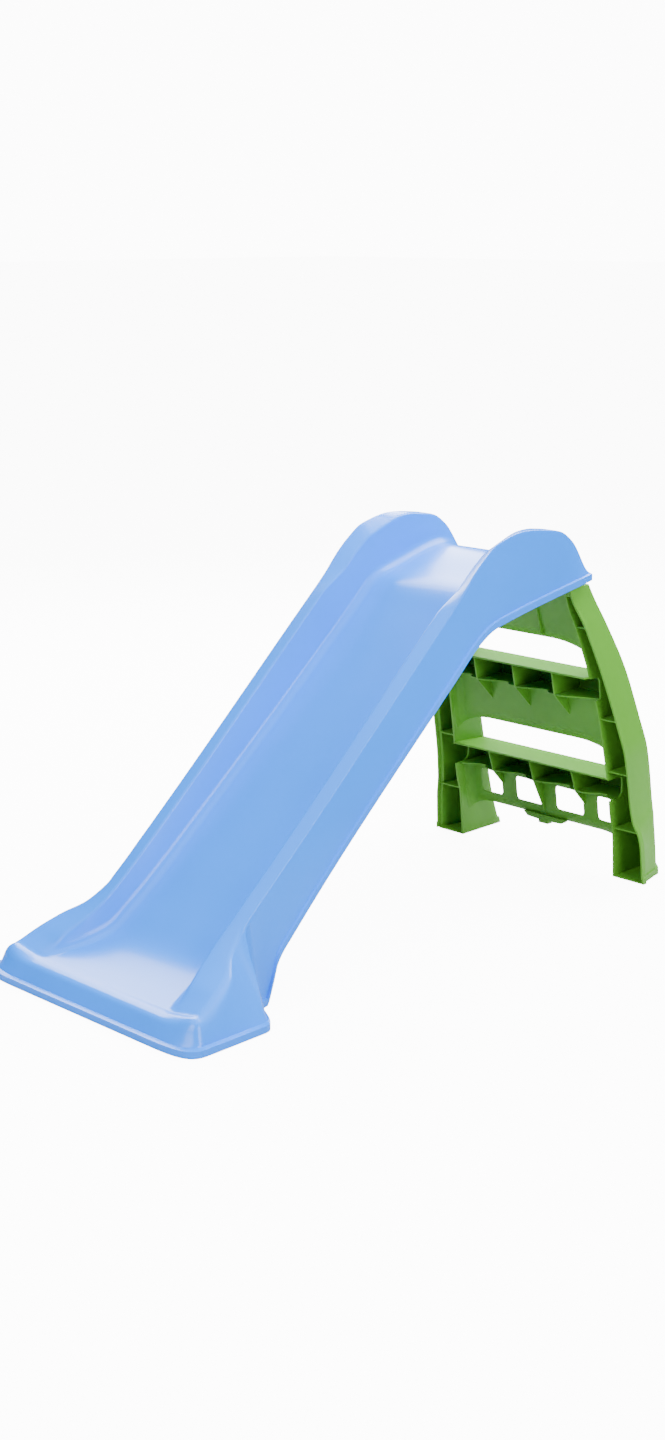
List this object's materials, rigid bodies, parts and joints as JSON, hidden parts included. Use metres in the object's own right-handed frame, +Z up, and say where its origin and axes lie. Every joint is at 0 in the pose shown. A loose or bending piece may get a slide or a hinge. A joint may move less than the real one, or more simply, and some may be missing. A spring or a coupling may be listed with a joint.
{
  "type": "toddler slide",
  "caption": "Small indoor and garden slide for toddlers: a one-piece chute with raised handrails at the top, carried by a moulded two-step ladder that folds under it.",
  "frame": {"origin": "on the floor under the middle of the bounding box, on the object's plane of symmetry", "axes": "+X is the object's width, +Y runs from the exit of the chute towards the ladder, +Z is up; the child slides towards -Y"},
  "size_m": [0.4422, 1.0673, 0.5836],
  "materials": {
    "blue_plastic": "smooth injection-moulded, glossy",
    "green_plastic": "injection-moulded, satin with a fine grain",
    "pin_plastic": "natural moulded plastic"
  },
  "bodies": {
    "slide": {"chute": "blue_plastic", "exit_foot": "blue_plastic", "platform": "blue_plastic", "handrail_left": "blue_plastic", "handrail_right": "blue_plastic", "pivot_pin_left": "pin_plastic", "pivot_pin_right": "pin_plastic"},
    "ladder": {"rail_left": "green_plastic", "rail_right": "green_plastic", "step_upper": "green_plastic", "step_lower": "green_plastic", "panel_top": "green_plastic", "panel_middle": "green_plastic", "panel_lower": "green_plastic", "storage_catch": "green_plastic"}
  },
  "joints": [
    {"name": "ladder_fold", "type": "hinge", "parent": "slide", "child": "ladder", "pos_m": [0, 0.325, 0.503], "axis": [-1, 0, 0], "range_deg": [0, 70]}
  ]
}
